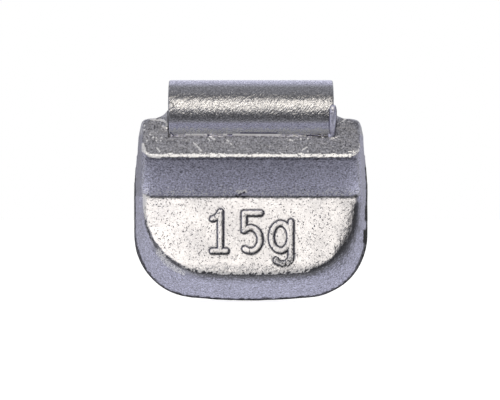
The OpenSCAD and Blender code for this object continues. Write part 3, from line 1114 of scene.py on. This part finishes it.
def build_bead():
    """The rounded bead of zinc that runs up the clip's right edge."""
    radii = []
    for i in range(BEAD_STEPS + 1):
        t = i / BEAD_STEPS
        radii.append(0.375 - 0.05 * max(0.0, 0.1 - t) / 0.1 - 0.17 * max(0.0, t - 0.55) / 0.45)
    obj = tube("edge_bead", bead_path(), radii)
    mesh = obj.data
    co = coords(mesh)
    co = co + normals(mesh) * (0.02 * uneven(co, 0.4, 21))[:, None]
    low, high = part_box("weight_body")
    clip_low, clip_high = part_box("spring_clip")
    co = fit_box(co, np.minimum(low, clip_low), np.maximum(high, clip_high))
    store(mesh, co)
    x, z = co[:, 0], co[:, 2]
    no = normals(mesh)
    front = no[:, 1] < 0.0
    # Painted highlight on the bead's top and painted shade down both its sides, with a dark dot below the
    # highlight.
    top = hill(z, -0.44, 0.13) * hill(x, BEAD_X - 0.12, 0.12) * front
    hole = hill(z, -0.66, 0.12) * hill(x, BEAD_X - 0.03, 0.12) * front
    side = 1.25 * smooth(no[:, 0], 0.6, 0.85) + smooth(-no[:, 0], 0.72, 0.92)
    add_values(
        mesh,
        bulge=0.0,
        tone=np.clip(1.75 - 1.9 * hole - 1.2 * side, 0.05, 2.0),
        violet=0.7,
        bright=top,
        pitting=0.0,
        calm=1.0,
        dark=0.0,
        fringe=0.0,
        shade=0.0,
    )
    return obj


class WEIGHT_OT_groups(bpy.types.Operator):
    """Makes the shader groups that the materials share"""

    bl_idname = "weight.groups"
    bl_label = "Shader groups"

    def execute(self, context):
        grain_group()
        speck_group()
        streak_group()
        return {"FINISHED"}


class WEIGHT_OT_cast_body(bpy.types.Operator):
    """Builds the cast zinc body with its raised mark"""

    bl_idname = "weight.cast_body"
    bl_label = "Cast body"

    def execute(self, context):
        settings = context.scene.weight_body_settings
        material = zinc_material(settings)
        bead = build_bead()
        obj = build_body(settings)
        finished(obj, material)
        finished(bead, material)
        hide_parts("weight_body")
        return {"FINISHED"}


class WEIGHT_OT_spring_clip(bpy.types.Operator):
    """Builds the rolled spring steel clip"""

    bl_idname = "weight.spring_clip"
    bl_label = "Spring clip"

    def execute(self, context):
        settings = context.scene.weight_clip_settings
        obj = build_clip(settings)
        finished(obj, steel_material(settings))
        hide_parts("spring_clip")
        return {"FINISHED"}


# Stage


def curve_value(tree, value, points):
    """A value looked up on straight lines between points, with both axes from 0 to 1."""
    node = add_node(tree, "ShaderNodeFloatCurve")
    curve = node.mapping.curves[0]
    curve.points[0].location = points[0]
    curve.points[1].location = points[-1]
    for point in points[1:-1]:
        curve.points.new(*point)
    for point in curve.points:
        point.handle_type = "VECTOR"
    node.mapping.update()
    tree.links.new(value, node.inputs["Value"])
    return node.outputs["Value"]


def empty_tree(data):
    """The emptied node tree of a material or a world."""
    data.use_nodes = True
    data.node_tree.nodes.clear()
    return data.node_tree


def direction(tree, vector):
    """The X, Y and Z of a vector made one long."""
    unit = add_node(tree, "ShaderNodeVectorMath", {0: vector}, operation="NORMALIZE")
    return add_node(tree, "ShaderNodeSeparateXYZ", {"Vector": unit.outputs["Vector"]}).outputs


def hood_material(settings):
    """The surroundings that the metal reflects: levels by the angle from the lamp's axis, on four sides."""
    material = bpy.data.materials.new("hood")
    tree = empty_tree(material)
    parts = direction(tree, add_node(tree, "ShaderNodeTexCoord").outputs["Object"])
    angle = math_node(tree, "ARCCOSINE", product(tree, parts["Y"], -1.0))
    share = math_node(tree, "DIVIDE", angle, math.pi)
    level = settings.hood_level
    above = ((0.0, 0.5), (0.20, level + 0.03), (0.33, level), (0.45, level + 0.10)) + HOOD_ABOVE
    flat = add_node(tree, "ShaderNodeCombineXYZ", {"X": parts["X"], "Y": parts["Z"]})
    around = direction(tree, flat.outputs["Vector"])
    up = ramp(tree, around["Y"], 0.15, 0.85)
    down = ramp(tree, around["Y"], -0.15, -0.85)
    aside = math_node(tree, "SUBTRACT", 1.0, math_node(tree, "ADD", up, down))
    to_right = ramp(tree, around["X"], -0.3, 0.3)
    to_left = math_node(tree, "SUBTRACT", 1.0, to_right)
    sides = (
        (above, up),
        (HOOD_BELOW, down),
        (HOOD_LEFT, product(tree, aside, to_left)),
        (HOOD_RIGHT, product(tree, aside, to_right)),
    )
    mixed = 0.0
    for points, weight in sides:
        part = product(tree, curve_value(tree, share, points), weight)
        mixed = math_node(tree, "ADD", part, mixed)
    glow = add_node(tree, "ShaderNodeEmission", {"Color": (0.97, 0.97, 1.0, 1.0), "Strength": mixed})
    add_node(tree, "ShaderNodeOutputMaterial", {"Surface": glow.outputs["Emission"]})
    return material


def make_hood(settings):
    """A dark hood round the object that only its reflections show, open in front for the lamp."""
    radius = 0.40
    rings = 48
    steps = 40
    first = math.radians(24.0)
    last = math.radians(178.0)
    verts = []
    for i in range(steps + 1):
        a = first + (last - first) * i / steps
        out = radius * math.sin(a)
        for j in range(rings):
            b = 2.0 * math.pi * j / rings
            verts.append((out * math.cos(b), -radius * math.cos(a), out * math.sin(b)))
    faces = []
    for i in range(steps):
        for j in range(rings):
            k = (j + 1) % rings
            faces.append((i * rings + j, i * rings + k, (i + 1) * rings + k, (i + 1) * rings + j))
    mesh = new_mesh("hood", verts, faces)
    shade_smooth(mesh)
    mesh.materials.append(hood_material(settings))
    obj = new_object("hood", mesh)
    obj.location = (0.0, 0.0, LAMP_Z)
    obj.visible_camera = False
    obj.visible_shadow = False
    obj.visible_diffuse = False
    obj.visible_transmission = False
    return obj


def seen_directly(tree):
    """1 for rays of the camera, of reflections and of clear parts, and 0 for the light on things."""
    path = add_node(tree, "ShaderNodeLightPath")
    seen = math_node(tree, "MAXIMUM", path.outputs["Is Camera Ray"], path.outputs["Is Glossy Ray"])
    return math_node(tree, "MAXIMUM", seen, path.outputs["Is Transmission Ray"])


def make_floor(settings, level_z):
    """A pale floor under the object that keeps its shadow."""
    half = 0.6
    corners = [(-half, -half, 0.0), (half, -half, 0.0), (half, half, 0.0), (-half, half, 0.0)]
    mesh = new_mesh("floor", corners, [(0, 1, 2, 3)])
    material = bpy.data.materials.new("floor")
    material.use_nodes = True
    tree = material.node_tree
    level = ramp(tree, seen_directly(tree), 0.0, 1.0, 0.0, settings.floor_level)
    inputs = {"Base Color": (0.9, 0.9, 0.9, 1.0), "Roughness": 0.9}
    inputs.update({"Emission Color": (1.0, 1.0, 1.0, 1.0), "Emission Strength": level})
    feed(tree, tree.nodes["Principled BSDF"], inputs)
    mesh.materials.append(material)
    obj = new_object("floor", mesh)
    obj.location = (0.0, 0.0, level_z)
    obj.visible_glossy = False
    return obj


def make_world():
    """A white background for the camera and the reflections, and a softer level for the rest."""
    world = bpy.data.worlds.new("surroundings")
    tree = empty_tree(world)
    strength = ramp(tree, seen_directly(tree), 0.0, 1.0, 0.45, 1.0)
    back = add_node(tree, "ShaderNodeBackground", {"Color": (1.0, 1.0, 1.0, 1.0), "Strength": strength})
    add_node(tree, "ShaderNodeOutputWorld", {"Surface": back.outputs["Background"]})
    bpy.context.scene.world = world


def make_lamp(settings):
    """A round warm lamp behind the camera, which the flat face mirrors."""
    radius = 0.165
    lamp = bpy.data.lights.new("front_lamp", "AREA")
    lamp.shape = "DISK"
    lamp.size = 2.0 * radius
    lamp.color = (1.0, 0.915, 0.715)
    lamp.energy = settings.lamp_power * math.pi * math.pi * radius * radius
    obj = new_object("front_lamp", lamp)
    obj.location = (0.0, -0.38, LAMP_Z)
    obj.rotation_euler = (math.radians(90.0), 0.0, 0.0)


def make_camera():
    """The photograph's camera, straight before the face."""
    data = bpy.data.cameras.new("camera")
    data.lens = LENS
    data.sensor_width = SENSOR
    data.clip_start = 0.001
    obj = new_object("camera", data)
    obj.location = tuple(c / MM for c in CAMERA_AT)
    obj.rotation_euler = (math.radians(90.0), 0.0, 0.0)
    bpy.context.scene.camera = obj


class WEIGHT_OT_stage(bpy.types.Operator):
    """Sets the camera, the lamp, the floor and the surroundings"""

    bl_idname = "weight.stage"
    bl_label = "Stage"

    def execute(self, context):
        settings = context.scene.weight_stage_settings
        scene = context.scene
        low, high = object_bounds()
        make_world()
        make_lamp(settings)
        make_camera()
        hood = make_hood(settings)
        floor = make_floor(settings, low[2])
        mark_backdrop(hood, floor)
        scene.view_settings.view_transform = "Standard"
        return {"FINISHED"}


class WEIGHT_PT_panel(bpy.types.Panel):
    """Sidebar panel with the steps of the build"""

    bl_label = "Balance weight"
    bl_space_type = "VIEW_3D"
    bl_region_type = "UI"
    bl_category = "Balance weight"

    def draw(self, context):
        for name in ("groups", "cast_body", "spring_clip", "stage"):
            self.layout.operator("weight." + name)


CLASSES = (
    CastBodySettings,
    ClipSettings,
    StageSettings,
    WEIGHT_OT_groups,
    WEIGHT_OT_cast_body,
    WEIGHT_OT_spring_clip,
    WEIGHT_OT_stage,
    WEIGHT_PT_panel,
)


def register():
    for cls in CLASSES:
        bpy.utils.register_class(cls)
    bpy.types.Scene.weight_body_settings = bpy.props.PointerProperty(type=CastBodySettings)
    bpy.types.Scene.weight_clip_settings = bpy.props.PointerProperty(type=ClipSettings)
    bpy.types.Scene.weight_stage_settings = bpy.props.PointerProperty(type=StageSettings)


def unregister():
    del bpy.types.Scene.weight_stage_settings
    del bpy.types.Scene.weight_clip_settings
    del bpy.types.Scene.weight_body_settings
    for cls in reversed(CLASSES):
        bpy.utils.unregister_class(cls)


def main():
    register()
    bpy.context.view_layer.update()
    bpy.ops.weight.groups()
    bpy.ops.weight.cast_body()
    bpy.ops.weight.spring_clip()
    bpy.ops.weight.stage()
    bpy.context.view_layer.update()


if __name__ == "__main__":
    main()
